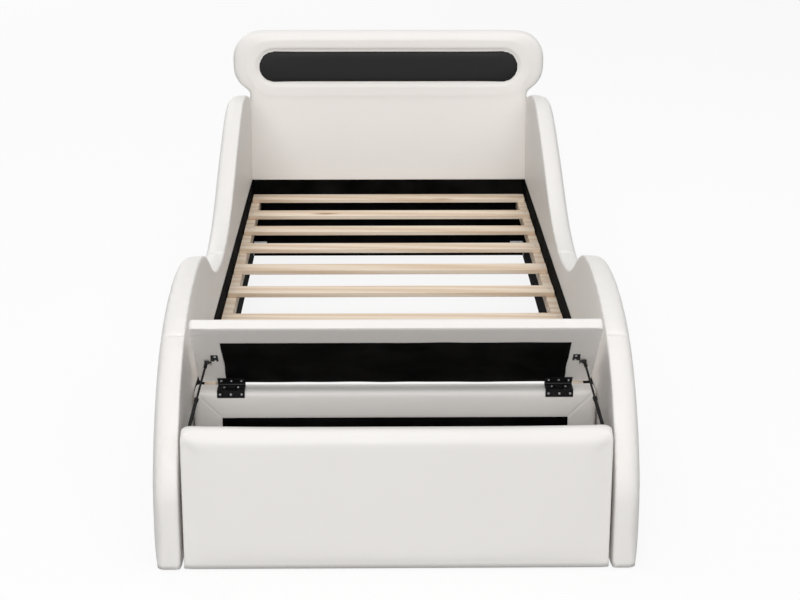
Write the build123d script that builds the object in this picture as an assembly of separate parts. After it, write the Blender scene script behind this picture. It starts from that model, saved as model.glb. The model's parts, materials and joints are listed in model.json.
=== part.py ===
from build123d import *
import os
from math import asin, atan2, cos, degrees, hypot, radians, sin

# Car bed: two padded side panels shaped like fenders, a spoiler headboard, slats,
# and a storage box at the foot with a hinged lid on two gas struts.
# Millimetres. +X is the right side seen from the foot, +Y runs to the head, +Z is up.
# Until the last step y is measured from the front panel's face.

# Overall chain along the bed
FRONT_THICKNESS = 55.0
BOX_DEPTH = 260.0
PARTITION_THICKNESS = 55.0
MATTRESS_LENGTH = 2015.0
HEAD_THICKNESS = 80.0

# Across the bed
INNER_WIDTH = 940.0
SIDE_THICKNESS = 58.0
FRONT_END_GAP = 5.0
PARTITION_END_GAP = 2.0
LID_END_GAP = 14.0

# Heights
GLIDE_HEIGHT = 3.0
LINING_TOP = 278.0
PARTITION_TOP = 298.0
FRONT_TOP = 327.0
SLAT_TOP = 227.0

# Side panel outline
FENDER_NOSE = 3.0
FENDER_HEIGHT = 525.0
FENDER_PEAK_Y = 560.0
TROUGH_HEIGHT = 350.0
TROUGH_Y = 1180.0
WING_HEIGHT = 611.0
WING_PEAK_BACK = 255.0
WING_END_HEIGHT = 570.0
WING_END_SLOPE = 0.24
# Outline points as (distance, drop) from the fender's nose, from its peak and before the trough,
# and as (distance before the wing's peak, share of the rise) up the wing
NOSE_POINTS = ((0, 365), (17, 295), (65, 213), (135, 135), (243, 61), (383, 17))
PEAK_POINT = (200, 33)
TROUGH_POINT = (215, 40)
WING_POINTS = ((617, 0.16), (362, 0.56), (209, 0.79))
SIDE_EDGE_RADIUS = 18.0
SIDE_OUTER_PADDING = 12.0
SIDE_INNER_PADDING = 8.0
LINING_THICKNESS = 2.5

# Headboard outline
HEAD_TOP = 788.0
SPOILER_OVERHANG = 1.0
SPOILER_HEIGHT = 210.0
SPOILER_RADIUS = 90.0
NECK_OVERHANG = 6.0
SHOULDER_GAP = 28.0
SHOULDER_RADIUS = 22.0
NECK_RADIUS = 8.0
HEAD_EDGE_RADIUS = 18.0
HEAD_FRONT_PADDING = 14.0
HEAD_BACK_PADDING = 10.0
HEAD_RIM_PADDING = 20.0
PAD_END_MARGIN = 88.0
PAD_HEIGHT = 111.0
PAD_DROP = 117.0
PAD_SINK = 8.0
PAD_CROWN = 3.0
PAD_ROUNDING = 8.0

# Front panel and partition
FRONT_TOP_RADIUS = 22.0
FRONT_END_RADIUS = 12.0
PANEL_PADDING = 10.0
PARTITION_EDGE_RADIUS = 3.0
PARTITION_BORDER = 67.0
PARTITION_LINING_BOTTOM = 30.0

# Storage box
BOX_FLOOR_BOTTOM = 18.0
BOX_FLOOR_THICKNESS = 8.0
CLEAT_WIDTH = 20.0
BATTEN_WIDTH = 20.0
BATTEN_HEIGHT = 24.0
BATTEN_DROP = 2.0
BATTEN_END_INSET = 45.0
LID_REST_GAP = 0.3

# Slats and ledgers
SLAT_WIDTH = 65.0
SLAT_THICKNESS = 14.0
SLAT_END_GAP = 5.0
SLAT_EDGE_RADIUS = 2.0
SLAT_OFFSETS = (8, 220, 411, 610, 832, 1050, 1298, 1504, 1716, 1928)
LEDGER_WIDTH = 28.0
LEDGER_HEIGHT = 35.0
LEDGER_END_GAP = 3.0
SLAT_SCREW_INSET = 18.0
LEDGER_SCREW_COUNT = 6
LEDGER_SCREW_INSET = 180.0

# Lid
LID_OPEN_ANGLE = 45.0
LID_THICKNESS = 28.0
LID_FRONT_GAP = 5.0
LID_BACK_GAP = 2.0
LID_EDGE_RADIUS = 9.0
LID_PADDING = 8.0
LID_LINING_THICKNESS = 1.5
LID_LINING_SIDE_BORDER = 65.0
LID_LINING_FRONT_BORDER = 72.0
LID_LINING_BACK_BORDER = 4.0

# Hinges
HINGE_INSET = 90.0
HINGE_WIDTH = 64.0
LEAF_THICKNESS = 1.8
PIN_INSET = 33.0
PIN_RADIUS = 1.5
KNUCKLE_RADIUS = 3.0
KNUCKLE_COUNT = 5
KNUCKLE_LIFT = 0.5
WALL_FLANGE_HEIGHT = 17.0
LID_LEAF_LENGTH = 29.0
TOP_SCREW_SPREAD = 16.0
FRONT_SCREW_SPREAD = 25.0
LID_SCREW_SPREAD = 23.0
LID_SCREW_REACH = 18.0
RUNNING_GAP = 0.3
FIT_GAP = 0.1

# Gas struts
UPPER_BALL_REACH = 139.0
UPPER_BALL_DROP = 11.0
UPPER_BALL_INSET = 43.0
LOWER_BALL_SETBACK = 25.0
LOWER_BALL_DROP = 33.0
LOWER_BALL_INSET = 7.0
ROD_RADIUS = 2.5
TUBE_RADIUS = 4.0
TUBE_BORE_RADIUS = 3.3
PISTON_RADIUS = 3.1
PISTON_LENGTH = 6.0
COLLAR_RADIUS = 5.0
COLLAR_LENGTH = 8.0
COLLAR_REACH = 109.0
BORE_FLOOR = 2.0
PISTON_CLEARANCE = 1.0
EYE_RADIUS = 4.5
EYE_WIDTH = 9.0
END_NECK = 10.0
SOCKET_NECK = 14.0
STUD_RADIUS = 2.2
STUD_HEAD_RADIUS = 4.0
STUD_HEAD_LENGTH = 1.7
BRACKET_THICKNESS = 1.5
BRACKET_LENGTH = 30.0
BRACKET_BASE_WIDTH = 16.0
BRACKET_ABOVE = 8.0
BRACKET_BELOW = 11.0

# Fasteners and brackets
SCREW_RADIUS = 1.6
SCREW_HEAD_RADIUS = 3.0
SCREW_HEAD_HEIGHT = 0.8
SCREW_LENGTH = 14.0
SLAT_SCREW_LENGTH = 24.0
LEDGER_SCREW_LENGTH = 40.0
ANGLE_LEG = 45.0
ANGLE_HEIGHT = 40.0
ANGLE_THICKNESS = 2.5
ANGLE_SCREW_REACHES = (18.0, 36.0)
HEAD_ANGLE_BOTTOM = 15.0
BED_ANGLE_BOTTOM = 110.0
BOX_ANGLE_BOTTOM = 150.0
JOINT_PLATE_LENGTH = 70.0
JOINT_PLATE_HEIGHT = 30.0
JOINT_PLATE_BOTTOM = 100.0
JOINT_PLATE_BACK = 900.0
GLIDE_RADIUS = 12.0
GLIDE_END_INSET = 60.0
CROSS_GLIDE_INSET = 190.0
GLIDE_CLEARANCE = 4.0

# Derived places
partition_front = FRONT_THICKNESS + BOX_DEPTH
partition_back = partition_front + PARTITION_THICKNESS
head_front = partition_back + MATTRESS_LENGTH
head_back = head_front + HEAD_THICKNESS
inner_half = INNER_WIDTH / 2
outer_half = inner_half + SIDE_THICKNESS
front_half = inner_half - FRONT_END_GAP
partition_half = inner_half - PARTITION_END_GAP
lid_half = inner_half - LID_END_GAP
pin_y = partition_front + PIN_INSET
pin_z = PARTITION_TOP + KNUCKLE_LIFT + KNUCKLE_RADIUS
lid_length = pin_y - FRONT_THICKNESS - LID_FRONT_GAP
batten_top = PARTITION_TOP - BATTEN_DROP
batten_half = inner_half - BATTEN_END_INSET
closed_fall = pin_z - batten_top - LID_REST_GAP
closed_reach = hypot(lid_length, KNUCKLE_RADIUS)
lid_closed_tilt = degrees(asin(closed_fall / closed_reach) + atan2(KNUCKLE_RADIUS, lid_length))
neck_half = inner_half + NECK_OVERHANG
shoulder_height = HEAD_TOP - SPOILER_HEIGHT - SHOULDER_GAP
spoiler_width = 2 * (outer_half + SPOILER_OVERHANG)
pad_width = spoiler_width - 2 * PAD_END_MARGIN
pad_centre = HEAD_TOP - PAD_DROP
hinge_centre = inner_half - HINGE_INSET
upper_ball_x = inner_half - UPPER_BALL_INSET
lower_ball_x = inner_half - LOWER_BALL_INSET


def box_between(low, high):
    """Return a box from its lowest to its highest corner."""
    size = [high[i] - low[i] for i in range(3)]
    centre = [(high[i] + low[i]) / 2 for i in range(3)]
    return Pos(*centre) * Box(*size)


def rod_between(start, end, radius):
    """Return a round bar from one point to another."""
    axis = Vector(*end) - Vector(*start)
    return Plane(origin=start, z_dir=axis) * extrude(Circle(radius), axis.length)


def to_left(part):
    """Return the mirror image of a right-hand piece."""
    return mirror(part, about=Plane.YZ)


def screw(place, into, length, slack=0.0):
    """Return a pan-head screw whose head sits on place and whose shank points along into."""
    direction = Vector(*into).normalized()
    seat = Vector(*place)
    head_top = seat - direction * SCREW_HEAD_HEIGHT
    head = rod_between(tuple(head_top), tuple(seat), SCREW_HEAD_RADIUS + slack)
    shank = rod_between(tuple(seat), tuple(seat + direction * length), SCREW_RADIUS + slack)
    return head + shank


def drill(part, screws):
    """Cut the holes for a list of (place, into, length) screws."""
    return part - [screw(place, into, length, FIT_GAP) for place, into, length in screws]


def group(solids):
    """Return separate solids as one node."""
    return Compound(children=[s for part in solids for s in part.solids()])


def drawn_in(points, curve, inset):
    """Return the points moved square to the curve, towards the inside of the outline."""
    moved = []
    for point in points:
        tangent = curve % curve.param_at_point(point)
        moved.append((point[0] + inset * tangent.Y, point[1] - inset * tangent.X))
    return moved[:-1] + [(points[-1][0], moved[-1][1])]


def side_face(inset=0.0):
    """Return a side panel's outline, drawn in by inset above its foot."""
    nose = -FENDER_NOSE
    wing_y = head_front - WING_PEAK_BACK
    rise = WING_HEIGHT - TROUGH_HEIGHT
    top = [(nose + reach, FENDER_HEIGHT - drop) for reach, drop in NOSE_POINTS]
    top += [(FENDER_PEAK_Y, FENDER_HEIGHT), (FENDER_PEAK_Y + PEAK_POINT[0], FENDER_HEIGHT - PEAK_POINT[1])]
    top += [(TROUGH_Y - TROUGH_POINT[0], TROUGH_HEIGHT + TROUGH_POINT[1]), (TROUGH_Y, TROUGH_HEIGHT)]
    top += [(wing_y - reach, TROUGH_HEIGHT + share * rise) for reach, share in WING_POINTS]
    top += [(wing_y, WING_HEIGHT), (head_front, WING_END_HEIGHT)]
    ends = [(0, 1), (1, -WING_END_SLOPE)]
    curve = Spline(*top, tangents=ends, tangent_scalars=(1, 1))
    if inset:
        top = drawn_in(top, curve, inset)
        curve = Spline(*top, tangents=ends, tangent_scalars=(1, 1))
    foot = [(head_front, GLIDE_HEIGHT), (top[0][0], GLIDE_HEIGHT)]
    return make_face(curve + Polyline(top[-1], *foot, top[0]))


def side_cover():
    """Return the right side panel's padded cover, hollow for its board and lining."""
    padded = extrude(Plane.YZ * side_face(), SIDE_THICKNESS)
    rim = [e for e in padded.edges() if abs((e @ 0.5).X - SIDE_THICKNESS / 2) > 1
           and (e @ 0.5).Z > GLIDE_HEIGHT + 1 and (e @ 0.5).Y < head_front - 1]
    padded = Pos(inner_half, 0, 0) * fillet(rim, SIDE_EDGE_RADIUS)
    return padded - side_board() - side_lining()


def side_board():
    """Return the board inside the right side panel."""
    thickness = SIDE_THICKNESS - SIDE_OUTER_PADDING - SIDE_INNER_PADDING
    board = extrude(Plane.YZ * side_face(SIDE_OUTER_PADDING), thickness)
    return Pos(inner_half + SIDE_INNER_PADDING, 0, 0) * board


def side_lining():
    """Return the black lining on the right side panel's inner face."""
    return box_between((inner_half, partition_back, GLIDE_HEIGHT),
                       (inner_half + LINING_THICKNESS, head_front, LINING_TOP))


def head_face(inset=0.0):
    """Return the headboard's outline, drawn in by inset."""
    spoiler = RectangleRounded(spoiler_width, SPOILER_HEIGHT, SPOILER_RADIUS)
    spoiler = Pos(0, HEAD_TOP - SPOILER_HEIGHT / 2) * spoiler
    neck_top = HEAD_TOP - SPOILER_HEIGHT / 2
    neck = Pos(0, (neck_top + GLIDE_HEIGHT) / 2) * Rectangle(2 * neck_half, neck_top - GLIDE_HEIGHT)
    shoulders = Pos(0, (shoulder_height + GLIDE_HEIGHT) / 2) * Rectangle(
        2 * outer_half, shoulder_height - GLIDE_HEIGHT)
    corners = [v for v in shoulders.vertices() if v.Y > shoulder_height - 1]
    shoulders = fillet(corners, SHOULDER_RADIUS)
    face = spoiler + neck + shoulders
    hollows = [v for v in face.vertices() if abs(abs(v.X) - neck_half) < 0.5 and v.Y > GLIDE_HEIGHT + 1]
    face = fillet(hollows, NECK_RADIUS)
    return offset(face, -inset) if inset else face


def head_plane(y):
    """Return an upright plane across the bed at y, facing the foot."""
    return Plane(origin=(0, y, 0), x_dir=(1, 0, 0), z_dir=(0, -1, 0))


def head_board():
    """Return the board inside the headboard."""
    thickness = HEAD_THICKNESS - HEAD_FRONT_PADDING - HEAD_BACK_PADDING
    board = extrude(head_plane(head_front + HEAD_FRONT_PADDING) * head_face(HEAD_RIM_PADDING), -thickness)
    foot = box_between((HEAD_RIM_PADDING - outer_half, head_front + HEAD_FRONT_PADDING, GLIDE_HEIGHT),
                       (outer_half - HEAD_RIM_PADDING, head_back - HEAD_BACK_PADDING,
                        GLIDE_HEIGHT + HEAD_RIM_PADDING))
    return board + foot


def head_pad():
    """Return the black crowned pad in the spoiler."""
    shape = Pos(0, pad_centre) * SlotOverall(pad_width, PAD_HEIGHT)
    pad = extrude(head_plane(head_front + PAD_SINK) * shape, PAD_SINK + PAD_CROWN)
    return fillet(pad.faces().sort_by(Axis.Y)[0].edges(), PAD_ROUNDING)


def head_pad_seat():
    """Return the hollow that the pad sits in."""
    shape = Pos(0, pad_centre) * SlotOverall(pad_width, PAD_HEIGHT)
    return extrude(head_plane(head_front + PAD_SINK) * shape, 2 * PAD_SINK)


def head_lining():
    """Return the black lining on the headboard's lower face."""
    return box_between((-inner_half, head_front, GLIDE_HEIGHT),
                       (inner_half, head_front + LINING_THICKNESS, LINING_TOP))


def head_cover():
    """Return the headboard's padded cover, hollow for its board, pad and lining."""
    padded = extrude(head_plane(head_front) * head_face(), -HEAD_THICKNESS)
    rim = [e for e in padded.edges() if abs((e @ 0.5).Y - head_front - HEAD_THICKNESS / 2) > 1
           and (e @ 0.5).Z > GLIDE_HEIGHT + 1]
    padded = fillet(rim, HEAD_EDGE_RADIUS)
    return padded - head_board() - head_pad_seat() - head_lining()


def front_cover():
    """Return the front panel's padded cover."""
    padded = box_between((-front_half, 0, GLIDE_HEIGHT), (front_half, FRONT_THICKNESS, FRONT_TOP))
    top = padded.faces().sort_by(Axis.Z)[-1].edges().filter_by(Axis.X)
    padded = fillet(top, FRONT_TOP_RADIUS)
    ends = [e for e in padded.edges() if abs((e @ 0.5).X) > front_half - 0.5 and (e @ 0.5).Z > GLIDE_HEIGHT + 1]
    return fillet(ends, FRONT_END_RADIUS) - front_board()


def front_board():
    """Return the board inside the front panel."""
    return box_between((PANEL_PADDING - front_half, PANEL_PADDING, GLIDE_HEIGHT),
                       (front_half - PANEL_PADDING, FRONT_THICKNESS - PANEL_PADDING,
                        FRONT_TOP - FRONT_TOP_RADIUS))


def partition_cover():
    """Return the partition's padded cover, hollow for its board and lining."""
    padded = box_between((-partition_half, partition_front, GLIDE_HEIGHT),
                         (partition_half, partition_back, PARTITION_TOP))
    top = padded.faces().sort_by(Axis.Z)[-1].edges().filter_by(Axis.X)
    return fillet(top, PARTITION_EDGE_RADIUS) - partition_board() - partition_lining()


def partition_board():
    """Return the board inside the partition."""
    return box_between((PANEL_PADDING - partition_half, partition_front + PANEL_PADDING, GLIDE_HEIGHT),
                       (partition_half - PANEL_PADDING, partition_back - PANEL_PADDING,
                        PARTITION_TOP - PANEL_PADDING))


def partition_lining():
    """Return the black lining on the partition's box side."""
    half = partition_half - PARTITION_BORDER
    return box_between((-half, partition_front, PARTITION_LINING_BOTTOM),
                       (half, partition_front + LINING_THICKNESS, PARTITION_TOP - PARTITION_BORDER))


def box_floor():
    """Return the storage box's bottom board."""
    return box_between((-partition_half, FRONT_THICKNESS, BOX_FLOOR_BOTTOM),
                       (partition_half, partition_front, BOX_FLOOR_BOTTOM + BOX_FLOOR_THICKNESS))


def box_floor_cleats():
    """Return the two battens under the box's bottom board."""
    cleats = []
    for y in (FRONT_THICKNESS, partition_front - CLEAT_WIDTH):
        cleats.append(box_between((PANEL_PADDING - front_half, y, GLIDE_HEIGHT),
                                  (front_half - PANEL_PADDING, y + CLEAT_WIDTH, BOX_FLOOR_BOTTOM)))
    return cleats


def lid_rest_batten():
    """Return the batten behind the front panel that the closed lid rests on."""
    return box_between((-batten_half, FRONT_THICKNESS, batten_top - BATTEN_HEIGHT),
                       (batten_half, FRONT_THICKNESS + BATTEN_WIDTH, batten_top))


slat_half = inner_half - SLAT_END_GAP
slat_backs = [head_front - o for o in SLAT_OFFSETS if o + SLAT_WIDTH < MATTRESS_LENGTH]
ledger_top = SLAT_TOP - SLAT_THICKNESS
slat_screw_x = inner_half - SLAT_SCREW_INSET


def slat_screws(back):
    """Return the two screws of one slat as (place, into, length)."""
    y = back - SLAT_WIDTH / 2
    z = SLAT_TOP - SCREW_HEAD_HEIGHT
    return [((x, y, z), (0, 0, -1), SLAT_SCREW_LENGTH) for x in (-slat_screw_x, slat_screw_x)]


def slat(back):
    """Return one slat whose rear edge is at back."""
    bar = box_between((-slat_half, back - SLAT_WIDTH, ledger_top), (slat_half, back, SLAT_TOP))
    bar = fillet(bar.edges().filter_by(Axis.X), SLAT_EDGE_RADIUS)
    return drill(bar, slat_screws(back))


ledger_length = MATTRESS_LENGTH - 2 * LEDGER_END_GAP
ledger_start = partition_back + LEDGER_END_GAP
ledger_screw_pitch = (ledger_length - 2 * LEDGER_SCREW_INSET) / (LEDGER_SCREW_COUNT - 1)
ledger_screw_ys = [ledger_start + LEDGER_SCREW_INSET + k * ledger_screw_pitch for k in range(LEDGER_SCREW_COUNT)]
ledger_screws = [((inner_half - LEDGER_WIDTH, y, ledger_top - LEDGER_HEIGHT / 2), (1, 0, 0), LEDGER_SCREW_LENGTH)
                 for y in ledger_screw_ys]
all_slat_screws = [s for back in slat_backs for s in slat_screws(back)]


def ledger():
    """Return the right ledger that carries the slat ends."""
    bar = box_between((inner_half - LEDGER_WIDTH, ledger_start, ledger_top - LEDGER_HEIGHT),
                      (inner_half, ledger_start + ledger_length, ledger_top))
    return drill(bar, ledger_screws + [s for s in all_slat_screws if s[0][0] > 0])


knuckle_width = HINGE_WIDTH / KNUCKLE_COUNT


def knuckles(first, bore):
    """Return every second knuckle from first on, around the pin line at the origin."""
    row = []
    for k in range(first, KNUCKLE_COUNT, 2):
        start = -HINGE_WIDTH / 2 + k * knuckle_width + (RUNNING_GAP / 2)
        end = start + knuckle_width - RUNNING_GAP
        row.append(rod_between((start, 0, 0), (end, 0, 0), KNUCKLE_RADIUS)
                   - rod_between((start - 1, 0, 0), (end + 1, 0, 0), bore))
    return row


def knuckle_notch(first, low, high):
    """Return blocks that clear the other leaf's knuckles, between two heights."""
    reach = KNUCKLE_RADIUS + RUNNING_GAP
    row = []
    for k in range(first, KNUCKLE_COUNT, 2):
        start = -HINGE_WIDTH / 2 + k * knuckle_width - RUNNING_GAP / 2
        end = start + knuckle_width + RUNNING_GAP
        row.append(box_between((start, -reach, low), (end, reach, high)))
    return row


hinge_xs = {"left": -hinge_centre, "right": hinge_centre}
wall_top_screws = [((x, -PIN_INSET / 2, 0), (0, 0, -1), SCREW_LENGTH)
                   for x in (-TOP_SCREW_SPREAD, TOP_SCREW_SPREAD)]
wall_front_screws = [((x, 0, -WALL_FLANGE_HEIGHT / 2), (0, 1, 0), SCREW_LENGTH)
                     for x in (-FRONT_SCREW_SPREAD, 0, FRONT_SCREW_SPREAD)]
lid_leaf_screws = [((x, -LID_SCREW_REACH, 0), (0, 0, 1), SCREW_LENGTH)
                   for x in (-LID_SCREW_SPREAD, 0, LID_SCREW_SPREAD)]


def wall_leaf(x):
    """Return a hinge's leaf bent over the partition's top front edge."""
    under = -KNUCKLE_RADIUS - KNUCKLE_LIFT
    top = under + LEAF_THICKNESS
    strip = box_between((-HINGE_WIDTH / 2, -PIN_INSET - LEAF_THICKNESS, under), (HINGE_WIDTH / 2, 0, top))
    flange = box_between((-HINGE_WIDTH / 2, -PIN_INSET - LEAF_THICKNESS, under - WALL_FLANGE_HEIGHT),
                         (HINGE_WIDTH / 2, -PIN_INSET, top))
    leaf = strip + flange
    for block in knuckle_notch(1, under - 1, KNUCKLE_RADIUS):
        leaf -= block
    for knuckle in knuckles(0, PIN_RADIUS + FIT_GAP / 2):
        leaf += knuckle
    leaf -= rod_between((-HINGE_WIDTH, 0, 0), (HINGE_WIDTH, 0, 0), PIN_RADIUS + FIT_GAP / 2)
    return drill(Pos(x, pin_y, pin_z) * leaf, wall_screws(x))


def wall_screws(x):
    """Return the five screws of one wall leaf."""
    top = [((x + p[0], pin_y + p[1], PARTITION_TOP + LEAF_THICKNESS), d, n) for p, d, n in wall_top_screws]
    front = [((x + p[0], partition_front - LEAF_THICKNESS, PARTITION_TOP + p[2]), d, n)
             for p, d, n in wall_front_screws]
    return top + front


def hinge_pin(x):
    """Return a hinge pin."""
    half = HINGE_WIDTH / 2
    return rod_between((x - half, pin_y, pin_z), (x + half, pin_y, pin_z), PIN_RADIUS)


# The lid and what it carries are drawn closed and level about the pin line, then swung open
lid_swing = Pos(0, pin_y, pin_z) * Rot(-LID_OPEN_ANGLE, 0, 0)
lid_under = KNUCKLE_RADIUS


def lid_screws(x):
    """Return the three screws of one lid leaf, about the pin line."""
    return [((x + p[0], p[1], lid_under - LEAF_THICKNESS), d, n) for p, d, n in lid_leaf_screws]


def lid_leaf(x):
    """Return a hinge's leaf on the lid, about the pin line."""
    leaf = box_between((-HINGE_WIDTH / 2, -LID_LEAF_LENGTH, lid_under - LEAF_THICKNESS),
                       (HINGE_WIDTH / 2, 0, lid_under))
    for block in knuckle_notch(0, -KNUCKLE_RADIUS, lid_under + 1):
        leaf -= block
    for knuckle in knuckles(1, PIN_RADIUS + RUNNING_GAP):
        leaf += knuckle
    leaf -= rod_between((-HINGE_WIDTH, 0, 0), (HINGE_WIDTH, 0, 0), PIN_RADIUS + RUNNING_GAP)
    return drill(Pos(x, 0, 0) * leaf, lid_screws(x))


bracket_screw_ys = (-BRACKET_LENGTH / 3, BRACKET_LENGTH / 3)
tab_outer = upper_ball_x - EYE_WIDTH / 2 - RUNNING_GAP - 2 * STUD_HEAD_LENGTH - BRACKET_THICKNESS
bracket_base_x = tab_outer - BRACKET_BASE_WIDTH / 2


def upper_bracket_screws():
    """Return the screws of the right upper strut bracket, about the pin line."""
    return [((bracket_base_x - BRACKET_THICKNESS, y - UPPER_BALL_REACH, lid_under - BRACKET_THICKNESS),
             (0, 0, 1), SCREW_LENGTH) for y in bracket_screw_ys]


def upper_bracket():
    """Return the right strut bracket under the lid with its stud, about the pin line."""
    middle = -UPPER_BALL_REACH
    stud_z = lid_under - UPPER_BALL_DROP
    stud_end = upper_ball_x - EYE_WIDTH / 2 - RUNNING_GAP
    base = box_between((tab_outer - BRACKET_BASE_WIDTH, middle - BRACKET_LENGTH / 2, lid_under - BRACKET_THICKNESS),
                       (tab_outer, middle + BRACKET_LENGTH / 2, lid_under))
    tab = box_between((tab_outer - BRACKET_THICKNESS, middle - EYE_RADIUS, stud_z - EYE_RADIUS),
                      (tab_outer, middle + EYE_RADIUS, lid_under))
    stud = rod_between((tab_outer - BRACKET_THICKNESS, middle, stud_z), (stud_end, middle, stud_z), STUD_RADIUS)
    head = rod_between((stud_end - STUD_HEAD_LENGTH, middle, stud_z), (stud_end, middle, stud_z),
                       STUD_HEAD_RADIUS)
    return drill(base + tab + stud + head, upper_bracket_screws())


def lid_fixings():
    """Return every screw in the lid, about the pin line."""
    right = upper_bracket_screws()
    left = [((-p[0], p[1], p[2]), d, n) for p, d, n in right]
    return lid_screws(hinge_xs["left"]) + lid_screws(hinge_xs["right"]) + left + right


def lid_board():
    """Return the board inside the lid, about the pin line."""
    board = box_between((LID_PADDING - lid_half, LID_PADDING - lid_length, lid_under + LID_PADDING),
                        (lid_half - LID_PADDING, -LID_BACK_GAP - LID_PADDING,
                         lid_under + LID_THICKNESS - LID_PADDING))
    return board


def lid_lining():
    """Return the lining on the lid's underside, about the pin line."""
    return box_between((LID_LINING_SIDE_BORDER - lid_half, LID_LINING_FRONT_BORDER - lid_length, lid_under),
                       (lid_half - LID_LINING_SIDE_BORDER, -LID_BACK_GAP - LID_LINING_BACK_BORDER,
                        lid_under + LID_LINING_THICKNESS))


def lid_cover():
    """Return the lid's padded cover, about the pin line."""
    padded = box_between((-lid_half, -lid_length, lid_under), (lid_half, -LID_BACK_GAP, lid_under + LID_THICKNESS))
    upper = [e for e in padded.edges() if (e @ 0.5).Z > lid_under + 1]
    return fillet(upper, LID_EDGE_RADIUS) - lid_board() - lid_lining()


lower_ball = Vector(lower_ball_x, FRONT_THICKNESS + LOWER_BALL_SETBACK, PARTITION_TOP - LOWER_BALL_DROP)


def upper_ball(opening):
    """Return the right upper stud's centre with the lid opened by an angle in degrees."""
    turn = radians(opening)
    drop = UPPER_BALL_DROP - lid_under
    y = pin_y - UPPER_BALL_REACH * cos(turn) - drop * sin(turn)
    z = pin_z + UPPER_BALL_REACH * sin(turn) - drop * cos(turn)
    return Vector(upper_ball_x, y, z)


open_ball = upper_ball(LID_OPEN_ANGLE)
closed_ball = upper_ball(-lid_closed_tilt)
open_reach = hypot(open_ball.Z - lower_ball.Z, open_ball.Y - lower_ball.Y)
folded_reach = hypot(closed_ball.Z - lower_ball.Z, closed_ball.Y - lower_ball.Y)
strut_axis = (open_ball - lower_ball).normalized()
strut_length = (open_ball - lower_ball).length
strut_stroke = (open_reach - folded_reach) * strut_length / open_reach


def along_strut(distance):
    """Return the point on the right strut's line at a distance from its lower pivot."""
    return tuple(lower_ball + strut_axis * distance)


def strut_foot():
    """Return the right strut's lower eye on its stud."""
    half = EYE_WIDTH / 2
    y, z = lower_ball.Y, lower_ball.Z
    eye = rod_between((lower_ball_x - half, y, z), (lower_ball_x + half, y, z), EYE_RADIUS)
    neck = rod_between(along_strut(0), along_strut(END_NECK), TUBE_RADIUS)
    hole = rod_between((lower_ball_x - 2 * half, y, z), (lower_ball_x + 2 * half, y, z),
                       STUD_RADIUS + RUNNING_GAP)
    return eye + neck - hole


def strut_tube():
    """Return the right strut's pressure tube."""
    tube = rod_between(along_strut(END_NECK), along_strut(COLLAR_REACH), TUBE_RADIUS)
    return tube - rod_between(along_strut(END_NECK + BORE_FLOOR), along_strut(COLLAR_REACH + 1),
                              TUBE_BORE_RADIUS)


def strut_collar():
    """Return the collar at the mouth of the right strut's tube."""
    collar = rod_between(along_strut(COLLAR_REACH), along_strut(COLLAR_REACH + COLLAR_LENGTH), COLLAR_RADIUS)
    return collar - rod_between(along_strut(COLLAR_REACH - 1), along_strut(COLLAR_REACH + COLLAR_LENGTH + 1),
                                ROD_RADIUS + RUNNING_GAP)


def strut_rod():
    """Return the right strut's rod with its piston."""
    inner_end = END_NECK + BORE_FLOOR + PISTON_CLEARANCE + strut_stroke
    rod = rod_between(along_strut(inner_end), along_strut(strut_length - END_NECK / 2), ROD_RADIUS)
    return rod + rod_between(along_strut(inner_end), along_strut(inner_end + PISTON_LENGTH), PISTON_RADIUS)


def strut_socket():
    """Return the right strut's upper end, beside the lid's stud."""
    half = EYE_WIDTH / 2
    top = upper_ball(LID_OPEN_ANGLE)
    eye = rod_between((upper_ball_x - half, top.Y, top.Z), (upper_ball_x + half, top.Y, top.Z), EYE_RADIUS)
    neck = rod_between(along_strut(strut_length - SOCKET_NECK), along_strut(strut_length), TUBE_RADIUS)
    hole = rod_between(along_strut(strut_length - SOCKET_NECK - 1), along_strut(strut_length - END_NECK / 2),
                       ROD_RADIUS)
    slab = box_between((upper_ball_x - half - TUBE_RADIUS, top.Y - SOCKET_NECK, top.Z - 2 * SOCKET_NECK),
                       (upper_ball_x - half, top.Y + SOCKET_NECK, top.Z + SOCKET_NECK))
    return eye + neck - slab - hole


lower_plate_screws = [((inner_half - BRACKET_THICKNESS, lower_ball.Y + y, lower_ball.Z - BRACKET_BELOW / 2),
                       (1, 0, 0), SCREW_LENGTH) for y in bracket_screw_ys]


def lower_bracket():
    """Return the right strut bracket on the side panel, with its stud."""
    y, z = lower_ball.Y, lower_ball.Z
    eye_face = lower_ball_x - EYE_WIDTH / 2 - RUNNING_GAP
    plate = box_between((inner_half - BRACKET_THICKNESS, y - BRACKET_LENGTH / 2, z - BRACKET_BELOW),
                        (inner_half, y + BRACKET_LENGTH / 2, z + BRACKET_ABOVE))
    stud = rod_between((inner_half - BRACKET_THICKNESS, y, z), (eye_face, y, z), STUD_RADIUS)
    head = rod_between((eye_face - STUD_HEAD_LENGTH, y, z), (eye_face, y, z), STUD_HEAD_RADIUS)
    return drill(plate + stud + head, lower_plate_screws)


def angle_screws(y, facing, bottom):
    """Return the four screws of a right-hand corner bracket."""
    z = bottom + ANGLE_HEIGHT / 2
    places = []
    for step in ANGLE_SCREW_REACHES:
        places.append(((inner_half - ANGLE_THICKNESS, y + facing * step, z), (1, 0, 0), SCREW_LENGTH))
        places.append(((inner_half - step, y + facing * ANGLE_THICKNESS, z), (0, -facing, 0), SCREW_LENGTH))
    return places


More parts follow.
